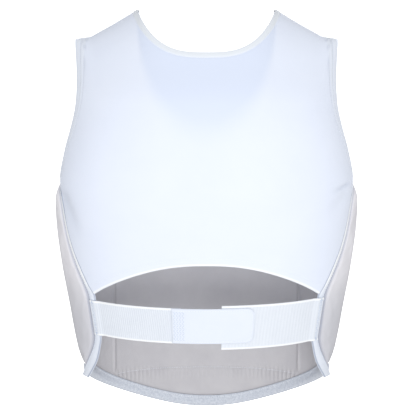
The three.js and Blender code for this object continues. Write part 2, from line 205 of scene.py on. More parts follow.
def column(rows, name, drop):
    """One column of a table at a drop, on a smooth curve that never overshoots its rows."""
    drops, values = rows["drop"], rows[name]
    slope = np.diff(values) / np.diff(drops)
    product = slope[:-1] * slope[1:]
    total = np.where(product > 0, slope[:-1] + slope[1:], 1)
    inner = np.where(product > 0, 2 * product / total, 0)
    tangent = np.concatenate([slope[:1], inner, slope[-1:]])
    at = np.clip(drop, drops[0], drops[-1])
    row = np.clip(np.searchsorted(drops, at), 1, len(drops) - 1)
    width = drops[row] - drops[row - 1]
    t = (at - drops[row - 1]) / width
    start = (2 * t - 3) * t * t + 1
    ends = start * values[row - 1] + (1 - start) * values[row]
    lead = ((t - 2) * t + 1) * t * width * tangent[row - 1]
    trail = (t - 1) * t * t * width * tangent[row]
    return ends + lead + trail


def unit(vectors):
    length = np.linalg.norm(vectors, axis=-1, keepdims=True)
    return vectors / np.maximum(length, TINY)


def on_body(angle, drop):
    """Points of the body form."""
    angle, drop = np.broadcast_arrays(np.asarray(angle, float), np.asarray(drop, float))
    side = np.sin(np.radians(angle))
    ahead = np.cos(np.radians(angle))
    power = column(SECTIONS, "square", drop)
    depth = np.where(ahead > 0, column(SECTIONS, "front", drop), column(SECTIONS, "back", drop))
    across = np.abs(side / column(SECTIONS, "half", drop)) ** power
    radius = (across + np.abs(ahead / depth) ** power) ** (-1 / power)
    return np.stack([radius * side, -radius * ahead, -drop], -1)


def one_degree(angle, drop):
    """Step of one degree round the body."""
    return on_body(angle + 0.5, drop) - on_body(angle - 0.5, drop)


def outward(angle, drop):
    down = on_body(angle, drop + 1) - on_body(angle, drop - 1)
    return unit(np.cross(down, one_degree(angle, drop)))


def off_body(angle, drop, out):
    return on_body(angle, drop) + outward(angle, drop) * np.asarray(out, float)[..., None]


def turn(length, angle, drop):
    """Degrees that cover a length along the body."""
    return length / np.linalg.norm(one_degree(angle, drop), axis=-1)


def arc(degrees):
    return np.radians(np.abs(degrees)) * MEAN_RADIUS


def ridge_drop(x):
    return np.interp(x, RIDGE["from"], RIDGE["drop"])


def top_drop(x, neck):
    across = np.minimum(x / NECK_HALF, 1)
    return np.where(x < NECK_HALF, neck["drop"] * (1 - across ** neck["power"]) ** neck["bow"], ridge_drop(x))


def arch_drop(share):
    return ARCH["top"] + ARCH["rise"] * np.abs(share) ** ARCH["power"]


def hem_drop(angle):
    share = np.minimum(1, np.abs(angle) / HEM["corner"])
    return HEM["low"] - HEM["rise"] * (1 - (1 - share ** HEM["bow"]) ** HEM["ease"])


def shoulder_rounding(x, start, drop):
    """Share of the body's depth that is left where cloth rounds over to the ridge.

    Inside the neck the ridge line goes on, easing to level, and the neckline is cut out of that surface.
    """
    slope = RIDGE["drop"][1] / (RIDGE["from"][1] - NECK_HALF)
    inside = np.clip((NECK_HALF - x) / NECK_EASE, 0, 1)
    ridge = ridge_drop(x) - slope * NECK_EASE * (inside - inside ** 2 / 2)
    return np.sqrt(1 - np.clip((start - drop) / (start - ridge), 0, 1) ** 2)


# Grids, meshes and stitches


def joined(*stretches):
    """One rising line of steps from (start, end, count) stretches."""
    parts = [np.linspace(start, end, count, endpoint=False) for start, end, count in stretches]
    return np.concatenate([*parts, [stretches[-1][1]]])


def mirrored(half):
    return np.concatenate([-half[:0:-1], half])


def lengths(points, axis):
    """Running length along one axis of a grid, from its start."""
    step = np.linalg.norm(np.diff(points, axis=axis), axis=-1)
    pad = [(1, 0) if k == axis else (0, 0) for k in range(2)]
    return np.cumsum(np.pad(step, pad), axis=axis)


def flat_map(points):
    """Place of each grid point on the flat cloth, in metres."""
    across = lengths(points, 1)
    across = across - across[:, across.shape[1] // 2:across.shape[1] // 2 + 1]
    return np.stack([across, lengths(points, 0)], -1) * MM


def new_piece(name, points, faces, material, flat=None):
    """Mesh object from points in millimetres, turned so that its faces look out, riding on the part."""
    points = np.asarray(points, float)
    corners = points[faces]
    spread = np.cross(corners[:, 1] - corners[:, 0], corners[:, 2] - corners[:, 0])
    spread += np.cross(corners[:, 2] - corners[:, 0], corners[:, -1] - corners[:, 0])
    if (corners.mean(1) * spread).sum() < 0:
        faces = faces[:, ::-1]
    mesh = bpy.data.meshes.new(name)
    mesh.from_pydata((points * MM).tolist(), [], faces.tolist())
    mesh.shade_smooth()
    if flat is not None:
        layer = mesh.uv_layers.new(name="Flat")
        layer.uv.foreach_set("vector", flat[faces.ravel()].astype(np.float32).ravel())
    piece = bpy.data.objects.new(name, mesh)
    bpy.context.scene.collection.objects.link(piece)
    piece.data.materials.append(material)
    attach(piece, "root")
    return piece


def wall(name, outer, inner, material, slot):
    """Closed wall between two grids, with a rounded border."""
    rows, columns = outer.shape[:2]
    count = rows * columns
    index = np.arange(count).reshape(rows, columns)
    quads = np.stack([index[:-1, :-1], index[:-1, 1:], index[1:, 1:], index[1:, :-1]], -1).reshape(-1, 4)
    border = np.concatenate([index[0, :-1], index[:-1, -1], index[-1, :0:-1], index[:0:-1, 0]])
    middle = (outer + inner) / 2
    row, spot = np.divmod(border, columns)
    inside = middle[np.clip(row, 1, rows - 2), np.clip(spot, 1, columns - 2)]
    thick = np.linalg.norm(outer[row, spot] - inner[row, spot], axis=-1, keepdims=True)
    rim = middle[row, spot] + unit(middle[row, spot] - inside) * thick * ROUND_EDGE[slot]
    here = np.arange(len(border))
    after = np.roll(here, -1)
    top = np.stack([border[after], border, 2 * count + here, 2 * count + after], -1)
    foot = np.stack([2 * count + after, 2 * count + here, count + border, count + border[after]], -1)
    points = np.concatenate([outer.reshape(-1, 3), inner.reshape(-1, 3), rim])
    place = flat_map(middle).reshape(-1, 2)
    flat = np.concatenate([place, place, place[border]])
    faces = np.concatenate([quads, quads[:, ::-1] + count, top, foot])
    return new_piece(name, points, faces, material, flat)


def line_at(points, distance, where, axis):
    """Points of a grid where the distance along an axis reaches a value, one for each line of the grid."""
    lines = np.moveaxis(points, axis, 0)
    steps = np.moveaxis(distance, axis, 0)
    found = []
    for k in range(lines.shape[1]):
        order = np.argsort(steps[:, k])
        found.append([np.interp(where, steps[order, k], lines[order, k, c]) for c in range(3)])
    return np.array(found)


def running_stitch(points, normals):
    """Starts, ends and normals of the stitches of one row along a line."""
    pitch = STITCH["length"] + STITCH["gap"]
    step = np.linalg.norm(np.diff(points, axis=0), axis=1)
    along = np.concatenate([[0], np.cumsum(step)])
    starts = np.arange(pitch / 2, along[-1] - pitch, pitch)
    ends = starts + STITCH["length"]

    def at(values, places):
        return np.stack([np.interp(places, along, values[:, c]) for c in range(3)], -1)

    return at(points, starts), at(points, ends), unit(at(normals, starts))


def thread(name, stitches, material, radius=STITCH["radius"]):
    """One mesh of sewn stitches: each rises from the cloth, lies on it and dips back in."""
    starts, ends, normals = (np.concatenate(group) for group in zip(*stitches))
    share = np.array([0, 0.12, 0.5, 0.88, 1])
    thin = np.array([0.45, 0.9, 1, 0.9, 0.45])
    rise = np.array([-0.9, 0.15, 0.5, 0.15, -0.9]) * radius
    around = np.arange(6) * np.pi / 3
    sideways = unit(np.cross(ends - starts, normals))
    middle = starts[:, None] + (ends - starts)[:, None] * share[:, None]
    middle = middle + normals[:, None] * rise[:, None]
    ring = normals[:, None] * np.cos(around)[:, None] + sideways[:, None] * np.sin(around)[:, None]
    points = middle[:, :, None] + ring[:, None] * (thin * radius)[:, None, None]
    count, rings, sides = points.shape[:3]
    index = np.arange(count * rings * sides).reshape(count, rings, sides)
    ahead = np.roll(index, -1, axis=2)
    tube = np.stack([index[:, :-1], ahead[:, :-1], ahead[:, 1:], index[:, 1:]], -1).reshape(-1, 4)
    caps = [[0, 1, 2, 3], [0, 3, 4, 5]]
    first = index[:, 0][:, caps][..., ::-1].reshape(-1, 4)
    last = index[:, -1][:, caps].reshape(-1, 4)
    return new_piece(name, points.reshape(-1, 3), np.concatenate([tube, first, last]), material)


# Materials


class Painter:
    """Adds nodes to one material, with numbers, colours or other nodes' outputs as inputs."""

    def __init__(self, name, colour, roughness, sheen):
        self.made = bpy.data.materials.new(name)
        self.made.use_nodes = True
        self.tree = self.made.node_tree
        self.shader = self.tree.nodes["Principled BSDF"]
        self.shader.inputs["Base Color"].default_value = (*colour, 1)
        self.shader.inputs["Roughness"].default_value = roughness
        self.shader.inputs["Sheen Weight"].default_value = sheen
        self.shader.inputs["Specular IOR Level"].default_value = 0.3

    def add(self, kind, inputs=(), **settings):
        node = self.tree.nodes.new("ShaderNode" + kind)
        for name, value in settings.items():
            setattr(node, name, value)
        for socket, value in dict(inputs).items():
            self.put(value, node.inputs[socket])
        return node

    def put(self, value, socket):
        if isinstance(value, bpy.types.NodeSocket):
            self.tree.links.new(value, socket)
        else:
            socket.default_value = value

    def math(self, operation, first, second=0.0):
        return self.add("Math", {0: first, 1: second}, operation=operation).outputs[0]

    def plus(self, first, second, share):
        """A number and a share of a second one."""
        return self.math("ADD", first, self.math("MULTIPLY", second, share))

    def flat(self):
        """Across and along the flat cloth, in metres."""
        place = self.add("UVMap", uv_map="Flat").outputs["UV"]
        parts = self.add("SeparateXYZ", {0: place})
        return parts.outputs["X"], parts.outputs["Y"]

    def place(self):
        return self.add("TexCoord").outputs["Object"]

    def wave(self, value, pitch):
        """Sine of a length, one turn for each pitch in metres."""
        return self.math("SINE", self.math("MULTIPLY", value, 2 * np.pi / pitch))

    def noise(self, scale):
        inputs = {"Vector": self.place(), "Scale": scale, "Detail": 4.0, "Roughness": 0.6}
        return self.add("TexNoise", inputs).outputs["Fac"]

    def relief(self, height, distance, strength, grain=None):
        """Bumps of a height, with noise of a scale and height added to it."""
        if grain:
            scale, rise = grain
            height = self.plus(height, self.noise(scale), rise)
        inputs = {"Height": height, "Distance": distance, "Strength": strength}
        self.put(self.add("Bump", inputs).outputs["Normal"], self.shader.inputs["Normal"])

    def blend(self, share, first, second):
        node = self.add("Mix", data_type="RGBA")
        for socket, value in ((0, share), (6, first), (7, second)):
            colour = value if socket == 0 or isinstance(value, bpy.types.NodeSocket) else (*value, 1)
            self.put(colour, node.inputs[socket])
        return node.outputs[2]

    def span(self, value, low, high):
        """Noise from 0.3 to 0.7 spread over a range."""
        inputs = {"Value": value, "From Min": 0.3, "From Max": 0.7, "To Min": low, "To Max": high}
        return self.add("MapRange", inputs).outputs["Result"]

    def value_of(self, name):
        """The number that a piece gives its vertices under a name, or 0 where it gives none."""
        return self.add("Attribute", attribute_name=name).outputs["Fac"]

    def colour(self, socket):
        self.put(socket, self.shader.inputs["Base Color"])

    def roughness(self, low, high, scale):
        self.put(self.span(self.noise(scale), low, high), self.shader.inputs["Roughness"])


CLOTH_WHITE = (0.772, 0.822, 0.935)
CLOTH_SHADE = (0.752, 0.805, 0.925)
# Painted shade where the thin cloth has the open front neck behind it
SHOW_THROUGH = (0.69, 0.755, 0.9)
HEM_WHITE = (0.755, 0.795, 0.85)
# Whiter edges, and painted light on the side tapes
EDGE_WHITE = (0.92, 0.94, 0.96)
PAD_WHITE = (0.75, 0.745, 0.78)
PAD_SHADE = (0.7, 0.69, 0.735)
PAD_LOW = (0.57, 0.572, 0.615)
# The lining is near-white cloth; these greyer colours are painted shade for the dim inside of the front
LINING_WHITE = (0.576, 0.566, 0.586)
LINING_SHADE = (0.532, 0.522, 0.547)
# Colour of painted shade in the lining's pleats and puckers
LINING_DEEP = (0.36, 0.35, 0.37)
TAPE_WHITE = (0.785, 0.83, 0.915)
TAPE_SHADE = (0.75, 0.8, 0.895)
# The hem tape is white tape like the side tapes; its greyer colours are painted shade, and its fine mottle is
# its own
BINDING_WHITE = (0.7, 0.735, 0.8)
BINDING_SHADE = (0.5, 0.54, 0.62)
ELASTIC_WHITE = (0.77, 0.81, 0.875)
ELASTIC_SHADE = (0.68, 0.725, 0.8)
TAB_WHITE = (0.74, 0.785, 0.872)
TAB_SHADE = (0.72, 0.77, 0.862)
THREAD_WHITE = (0.85, 0.88, 0.93)
THREAD_SHADE = (0.8, 0.835, 0.89)
TAB_THREAD_LIGHT = (0.6, 0.67, 0.79)
TAB_THREAD_SHADE = (0.54, 0.61, 0.75)
# Colour of painted shade in seams, hem grooves, folds and hollows
SEAM_SHADE = (0.4, 0.45, 0.56)

WALE = 0.0009
COURSE = 0.0007


def knit_cloth():
    """Fine stretch knit: upright wales with small loops, faintly bluish, with painted shade where the open
    front neckline lies behind the thin cloth.

    The doubled cloth of the hems is less see-through and so less blue, the cloth is whiter along its lower
    edge, and painted shade lies in its hem grooves and folds.
    """
    p = Painter("knit_cloth", CLOTH_WHITE, 0.7, 0.15)
    across, along = p.flat()
    loops = p.wave(p.plus(along, p.wave(across, WALE), COURSE / 6), COURSE)
    height = p.plus(p.wave(across, WALE), loops, 0.5)
    p.relief(height, 0.00012, 0.35, grain=(900, 1.2))
    cloth = p.blend(p.span(p.noise(14), 0, 1), CLOTH_WHITE, CLOTH_SHADE)
    # Painted shade behind the open neck, the doubled hems' own tint, whiter edges with painted light, and
    # painted shade in grooves and folds
    tints = {"open_behind": SHOW_THROUGH, "doubled": HEM_WHITE, "rolled": EDGE_WHITE, "sunken": SEAM_SHADE}
    for name, colour in tints.items():
        cloth = p.blend(p.value_of(name), cloth, colour)
    p.colour(cloth)
    p.roughness(0.62, 0.78, 300)
    return p.made


def coated_cloth():
    """Smooth coated cloth with a fine leather grain, over foam, with painted shade low on the sides and along
    their rear seams.
    """
    p = Painter("coated_cloth", PAD_WHITE, 0.5, 0.0)
    inputs = {"Vector": p.place(), "Scale": 620.0}
    cells = p.add("TexVoronoi", inputs, feature="DISTANCE_TO_EDGE").outputs["Distance"]
    pebbles = p.math("MINIMUM", p.math("MULTIPLY", cells, 3.0), 0.6)
    p.relief(pebbles, 0.0002, 0.4, grain=(1500, 0.35))
    cover = p.blend(p.span(p.noise(11), 0, 1), PAD_WHITE, PAD_SHADE)
    # Painted shade low on the sides, then painted shade along the seams
    cover = p.blend(p.value_of("low_down"), cover, PAD_LOW)
    p.colour(p.blend(p.value_of("sunken"), cover, SEAM_SHADE))
    p.roughness(0.42, 0.6, 160)
    return p.made


def woven(name, light, shade, deep, pitch, depth):
    """Plain weave of crossing yarns, with painted shade where a piece marks it."""
    p = Painter(name, light, 0.8, 0.1)
    across, along = p.flat()
    over = p.math("MULTIPLY", p.wave(across, 2 * pitch), p.wave(along, 2 * pitch))
    yarns = p.math("MAXIMUM", p.wave(across, pitch), p.wave(along, pitch))
    height = p.plus(p.math("MULTIPLY", over, 0.8), yarns, 0.4)
    p.relief(height, depth, 0.5, grain=(800, 0.8))
    streaks = p.plus(p.noise(35), over, 0.06)
    p.colour(p.blend(p.value_of("sunken"), p.blend(p.span(streaks, 0, 1), light, shade), deep))
    p.roughness(0.72, 0.88, 250)
    return p.made


def twill_tape(name, light, shade, mottle):
    """Narrow woven tape with slanting ribs and spots of a given scale."""
    p = Painter(name, light, 0.75, 0.1)
    across, along = p.flat()
    slant = p.wave(p.math("ADD", across, along), 0.0012)
    height = p.plus(slant, p.wave(across, 0.0006), 0.3)
    p.relief(height, 0.00018, 0.5, grain=(900, 0.8))
    spots = p.plus(p.noise(mottle), slant, 0.05)
    # Painted light where a piece marks it whiter, then painted shade along the seams
    cloth = p.blend(p.value_of("rolled"), p.blend(p.span(spots, 0, 1), light, shade), EDGE_WHITE)
    p.colour(p.blend(p.value_of("sunken"), cloth, SEAM_SHADE))
    p.roughness(0.66, 0.84, 250)
    return p.made


def ribbed_elastic():
    """Woven elastic: fine picks along the strap between its ribs, with painted shade in the hollows, and
    white edges.
    """
    p = Painter("ribbed_elastic", ELASTIC_WHITE, 0.75, 0.1)
    across, along = p.flat()
    picks = p.wave(along, 0.0011)
    height = p.plus(picks, p.wave(across, 0.0007), 0.5)
    p.relief(height, 0.00015, 0.5, grain=(900, 0.8))
    cloth = p.blend(p.span(p.noise(30), 0, 0.4), ELASTIC_WHITE, ELASTIC_SHADE)
    # Painted shade in the rib hollows
    cloth = p.blend(p.value_of("rib_hollow"), cloth, ELASTIC_SHADE)
    p.colour(p.blend(p.value_of("rolled"), cloth, EDGE_WHITE))
    p.roughness(0.68, 0.84, 250)
    return p.made


def sewing_thread(name, light, shade):
    """Twisted thread."""
    p = Painter(name, light, 0.6, 0.0)
    wave = p.add("TexWave", {"Vector": p.place(), "Scale": 900.0, "Distortion": 1.5}).outputs["Fac"]
    p.relief(wave, 0.00008, 0.4)
    p.colour(p.blend(p.span(p.noise(60), 0, 1), light, shade))
    return p.made


CLOTH_LOOK = knit_cloth()
PAD_LOOK = coated_cloth()
# Lining in greyer colours: painted shade for the dim inside
LINING_LOOK = woven("woven_lining", LINING_WHITE, LINING_SHADE, LINING_DEEP, 0.0011, 0.0002)
TAB_LOOK = woven("tab_cloth", TAB_WHITE, TAB_SHADE, SEAM_SHADE, 0.0007, 0.00008)
TAPE_LOOK = twill_tape("side_tape", TAPE_WHITE, TAPE_SHADE, 40.0)
# Hem tape in greyer colours: painted shade
BINDING_LOOK = twill_tape("hem_tape", BINDING_WHITE, BINDING_SHADE, 420.0)
ELASTIC_LOOK = ribbed_elastic()
THREAD_LOOK = sewing_thread("sewing_thread", THREAD_WHITE, THREAD_SHADE)
TAB_THREAD = sewing_thread("tab_thread", TAB_THREAD_LIGHT, TAB_THREAD_SHADE)


def give_values(piece, name, outer, inner):
    """Numbers for the outer and inner faces of a wall, for its material to read, and 0 for its border."""
    values = np.zeros(len(piece.data.vertices), np.float32)
    values[:outer.size] = outer.ravel()
    values[outer.size:2 * outer.size] = inner.ravel()
    piece.data.attributes.new(name, "FLOAT", "POINT").data.foreach_set("value", values)


def tint(piece, **tints):
    """Numbers for the outer face of a wall alone."""
    for name, values in tints.items():
        give_values(piece, name, values, np.zeros_like(values))


# Cloth panels of the back and of the shoulders in front


def neck_share():
    """Step across the cloth at which the neck point lies."""
    depth, half, power = SECTIONS["back"][0], SECTIONS["half"][0], SECTIONS["square"][0]
    behind = depth * (1 - (NECK_HALF / half) ** power) ** (1 / power)
    return np.arctan2(NECK_HALF, behind) / np.radians(180 - BACK_ARMHOLE["angle"][0])


def cloth_grid(steps, climbs, lowest, angle, edge, foot, neck, start, side):
    """Middle of a cloth panel from its lower edge to the neckline and ridges, and its outward directions."""
    step, climb = np.meshgrid(steps, climbs)
    level = mix(lowest, RIDGE_FOOT, climb)
    top_x = np.abs(on_body(angle(step, edge(np.array(RIDGE_FOOT))), 0.0)[..., 0])
    drop = mix(foot(step), top_drop(top_x, neck), climb)
    middle = on_body(angle(step, edge(level)), drop)
    middle[..., 1] *= shoulder_rounding(top_x, start, drop)
    along = np.gradient(middle, axis=1)
    up = np.gradient(middle, axis=0)
    out = np.cross(along, up)
    on_ridge = np.abs(middle[-1, :, 0]) > NECK_HALF - NEAR
    out[-1, on_ridge, 1] = 0
    middle[-1, on_ridge, 1] += side * GAP / 2
    out = unit(out)
    out *= np.sign(out @ np.array([0, side, 1.0]))[..., None]
    return middle, out, level, drop


def hem_lines(distance, hem):
    """1 along the stitch rows of a hem."""
    return sum(bump(distance, row, hem["line"]) for row in hem["rows"])


def hem_lift(distance, hem):
    """Outer height of a hem that is turned in and sewn along its rows."""
    return hem["puff"] * dome(distance / hem["width"]) - hem["groove"] * hem_lines(distance, hem)


def hem_shade(distance, hem):
    """Painted shade in the stitched grooves of a hem and on its turned edge."""
    turned = fade(0, HEM_SHADE["reach"], distance)
    return np.clip(HEM_SHADE["line"] * hem_lines(distance, hem) + HEM_SHADE["edge"] * turned, 0, 1)


def doubled(edges):
    """Tint of the turned-in cloth of any of the hems."""
    return np.maximum.reduce([
        hem["tint"] * fade(hem["width"] - HEM_TURN["blur"], hem["width"], distance)
        for distance, hem in edges
    ])


def hem_fold(distance, hem):
    """Height of the turned-in layer on the inside."""
    return HEM_TURN["thick"] * fade(hem["width"], hem["width"] + HEM_TURN["ease"], distance)


def hemmed(middle, out, edges):
    """Outer and inner faces of a cloth panel with its hems."""
    lift = sum(hem_lift(distance, hem) for distance, hem in edges)
    fold = np.maximum.reduce([hem_fold(distance, hem) for distance, hem in edges])
    return middle + out * (CLOTH / 2 + lift)[..., None], middle - out * (CLOTH / 2 + fold)[..., None]


def hem_stitches(rows):
    """Stitches of hems, from (points, distances from the edge, hem, axis, normals)."""
    return [
        running_stitch(line_at(points, distance, where, axis), line_at(normals, distance, where, axis))
        for points, distance, hem, axis, normals in rows
        for where in hem["rows"]
    ]


def armhole_rows(points, distance, normals):
    """The armhole hems of the two halves of a panel, to be stitched."""
    half = points.shape[1] // 2
    halves = (slice(0, half), slice(half, None))
    return [(points[:, side], distance[:, side], ARMHOLE_HEM, 1, normals[:, side]) for side in halves]


def wide_steps(crowding):
    """Steps across a cloth panel, crowded towards each neck point by a power, and close at the hems."""
    neck = neck_share()
    steep = neck * (1 - 0.1 * np.linspace(1, 0, 14) ** crowding)
    beside = joined((neck, neck * 1.12, 14), (neck * 1.12, 0.91, 14), (0.91, 1, 40))
    return mirrored(np.concatenate([joined((0, neck * 0.9, 28))[:-1], steep, beside[1:]]))


FAR = 99


def panel_edges(middle):
    """Distances of each grid point from the foot and from the nearer side edge."""
    across = lengths(middle, 1)
    return lengths(middle, 0), np.minimum(across, across[:, -1:] - across)


def distance_from(line, points):
    """Shortest distance of each grid point from a line of points."""
    nearest = np.full(points.shape[:2], np.inf)
    for start, end in zip(line[:-1], line[1:]):
        run = end - start
        share = np.clip((points - start) @ run / (run @ run), 0, 1)
        nearest = np.minimum(nearest, np.linalg.norm(points - start - share[..., None] * run, axis=-1))
    return nearest


def neck_and_ridge(middle):
    """Distances from the neckline and from the shoulder ridges, and the columns of the two neck points."""
    top = middle[-1]
    first, *_, last = np.nonzero(np.abs(top[:, 0]) < NECK_HALF + NEAR)[0]
    from_neck = distance_from(top[first:last + 1], middle)
    from_ridge = np.minimum(distance_from(top[:first + 1], middle), distance_from(top[last:], middle))
    return from_neck, from_ridge, first, last


# Tension folds of the back panel beside the armpits: from one point to another, with their size and painted
# shade
FOLDS = table(
    "from_x from_drop to_x to_drop width depth shade",
    (-186, 216, -156, 227, 2.4, 3.0, 0.2),
    (-184, 224, -154, 256, 8, 2.4, 0),
    (187, 221, 160, 285, 7, 3.0, 0.2),
)
FOLD_ENDS = {"rise": (0, 0.25), "fall": (0.4, 1.1)}


def in_folds(name, x, drop):
    """The named column of the tension folds, spread over each: their depth, and their painted shade."""
    total = np.zeros_like(x)
    for k in range(len(FOLDS["depth"])):
        start = np.array([FOLDS["from_x"][k], FOLDS["from_drop"][k]])
        run = np.array([FOLDS["to_x"][k], FOLDS["to_drop"][k]]) - start
        away = np.stack([x, drop], -1) - start
        share = away @ run / (run @ run)
        aside = np.abs(away[..., 0] * run[1] - away[..., 1] * run[0]) / np.linalg.norm(run)
        length = smooth(*FOLD_ENDS["rise"], share) * fade(*FOLD_ENDS["fall"], share)
        total += FOLDS[name][k] * length * bump(aside, 0, FOLDS["width"][k])
    return total


# Outline of the painted shade below the back neckline, shaped as the open front neckline behind the thin
# cloth, with its blur as a share
SEEN_NECK = {"half": 87, "drop": 143, "sharp": 0.03, "blur": 0.15, "spill": 1.3}


def open_behind(x, drop):
    """1 in the painted shade where the cloth has only the open neckline behind it, blurred more the further
    down it lies.
    """
    down = np.maximum(0, drop / SEEN_NECK["drop"])
    away = np.sqrt((x / SEEN_NECK["half"]) ** 2 + down ** 2) - 1
    blur = mix(SEEN_NECK["sharp"], SEEN_NECK["blur"], np.minimum(1, down) ** 2)
    return fade(-blur, SEEN_NECK["spill"] * blur, away)


def back_panel():
    lowest = ARCH["top"] + ARCH["rise"]

    def edge(level):
        seam = column(SEAM, "tape", level)
        armhole = column(BACK_ARMHOLE, "angle", level)
        angle = np.where(level >= SEAM_TOP, seam, armhole)
        return angle + turn(GAP, angle, level)

    top_rows = 1 - 0.1 * (1 - np.linspace(0, 1, 34)) ** 2
    low_rows = joined((0, 0.05, 18), (0.05, 0.28, 26), (0.28, 0.5, 64), (0.5, 0.9, 42))
    climbs = np.concatenate([low_rows[:-1], top_rows])
    middle, out, level, drop = cloth_grid(
        wide_steps(1), climbs, lowest,
        lambda step, angle: 180 - step * (180 - angle),
        edge, arch_drop, BACK_NECK, SHOULDER_START, 1,
    )
    # Painted shade along the tension folds
    folded = in_folds("shade", middle[..., 0], drop)
    middle -= out * in_folds("depth", middle[..., 0], drop)[..., None]
    from_foot, from_side = panel_edges(middle)
    from_neck, from_ridge, first, last = neck_and_ridge(middle)
    from_armhole = from_side + FAR * smooth(SEAM_TOP - ARMHOLE_FADE, SEAM_TOP, level)
    hems = ((from_neck, NECK_HEM), (from_armhole, ARMHOLE_HEM))
    outer, inner = hemmed(middle, out, ((from_ridge, SHOULDER_SEAM), (from_foot, ARCH_HEM), *hems))
    piece = wall("back_panel_cloth", outer, inner, CLOTH_LOOK, "cloth")
    hem_end = NECK_HEM["width"]
    # Painted shade below the neckline, where the open front neckline lies behind the thin cloth
    shown = open_behind(middle[..., 0], drop) * smooth(hem_end - 1, hem_end + 1, from_neck)
    # Painted shade in the armhole hem's grooves and along the tension folds
    sunken = hem_shade(from_armhole, ARMHOLE_HEM) + folded
    # Whiter along the lower edge
    rolled = fade(*ROLL, from_foot)
    tint(piece, open_behind=shown, sunken=sunken, doubled=doubled(hems), rolled=rolled)
    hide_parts("back_panel")

    high = level[:, 0] < SEAM_TOP
    neck = from_neck[-1] < NECK_HEM["width"]
    rows = [
        (outer[:, neck], from_neck[:, neck], NECK_HEM, 0, out[:, neck]),
        (outer, from_foot, ARCH_HEM, 0, out),
        *armhole_rows(outer[high], from_side[high], out[high]),
    ]
    rows += [
        (outer[:, side], from_ridge[:, side], SHOULDER_SEAM, 0, out[:, side])
        for side in (slice(0, first), slice(last + 1, None))
    ]
    sewn = thread("back_panel_stitches", hem_stitches(rows), THREAD_LOOK)


def front_yoke():
    neck_step = neck_share()
    widest = FRONT_ARMHOLE["angle"][0]

    def angle(step, edge):
        beside = np.clip((np.abs(step) - neck_step) / (1 - neck_step), 0, 1) ** YOKE_TAPER
        return step * widest + np.sign(step) * (edge - widest) * beside

    top_rows = 1 - 0.2 * (1 - np.linspace(0, 1, 30)) ** 2
    climbs = np.concatenate([joined((0, 0.8, 60))[:-1], top_rows])
    middle, out, _, _ = cloth_grid(
        wide_steps(2), climbs, PLATE_TOP,
        angle,
        lambda level: column(FRONT_ARMHOLE, "angle", level),
        lambda step: PLATE_TOP - 1.5 * GAP,
        FRONT_NECK, PLATE_TOP, -1,
    )
    _, from_side = panel_edges(middle)
    from_neck, from_ridge, _, _ = neck_and_ridge(middle)
    hems = ((from_neck, NECK_HEM), (from_side, ARMHOLE_HEM))
    outer, inner = hemmed(middle, out, ((from_ridge, SHOULDER_SEAM), *hems))
    piece = wall("front_yoke_cloth", outer, inner, CLOTH_LOOK, "cloth")
    # Painted shade in the armhole hems' grooves
    tint(piece, sunken=hem_shade(from_side, ARMHOLE_HEM), doubled=doubled(hems))
    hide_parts("front_yoke")

    neck = from_neck[-1] < NECK_HEM["width"]
    rows = [
        (outer[:, neck], from_neck[:, neck], NECK_HEM, 0, out[:, neck]),
        *armhole_rows(outer, from_side, out),
    ]
    sewn = thread("front_yoke_stitches", hem_stitches(rows), THREAD_LOOK)


# Pads


def puff(distance, crown):
    share = np.clip(distance / PAD_REACH, 0, 1)
    return PAD_EDGE + (crown - PAD_EDGE) * np.sqrt(1 - (1 - share) ** 2)


SWELL = {"frames": 16, "pressure": 1.0, "spare": 0.012, "bending": 0.2, "held": 1.5, "cap": 1.0}


def swell(piece, sewn):
    """Lets a pad's cover settle over its foam as sewn cloth, with no point moved further than the cap."""
    group = piece.vertex_groups.new(name="sewn")
    group.add(np.nonzero(sewn)[0].tolist(), 1.0, "REPLACE")
    modifier = piece.modifiers.new("settle", "CLOTH")
    settings = modifier.settings
    settings.vertex_group_mass = group.name
    settings.use_pressure = True
    settings.uniform_pressure_force = SWELL["pressure"]
    settings.shrink_min = -SWELL["spare"]
    settings.effector_weights.gravity = 0
    settings.bending_stiffness = SWELL["bending"]
    modifier.point_cache.frame_end = SWELL["frames"]
    for number in range(1, SWELL["frames"] + 1):
        bpy.context.scene.frame_set(number)
    settled = piece.evaluated_get(bpy.context.evaluated_depsgraph_get()).data
    start = np.empty(len(piece.data.vertices) * 3, np.float32)
    end = np.empty_like(start)
    piece.data.vertices.foreach_get("co", start)
    settled.vertices.foreach_get("co", end)
    move = (end - start).reshape(-1, 3)
    length = np.linalg.norm(move, axis=1, keepdims=True)
    move *= np.minimum(1, SWELL["cap"] * MM / np.maximum(length, TINY))
    piece.modifiers.remove(modifier)
    piece.vertex_groups.remove(group)
    piece.data.vertices.foreach_set("co", start + move.ravel())
    piece.data.update()
    bpy.context.scene.frame_set(1)


def pad(name, node, angle, drop, distance, crown, fill):
    """Foam pad with its cover: flat inside, crowned outside, pulled in along its sewn edges."""
    outer = off_body(angle, drop, puff(distance, crown - SWELL["cap"]))
    inner = off_body(angle, drop, PAD_INNER)
    piece = wall(name, outer, inner, PAD_LOOK, "pad")
    sewn = np.ones(len(piece.data.vertices), bool)
    sewn[:distance.size] = distance.ravel() < SWELL["held"]
    swell(piece, sewn)
    smoother = piece.modifiers.new("smoother", "SUBSURF")
    smoother.levels = 1
    smoother.render_levels = 1
    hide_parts(node)
    return piece


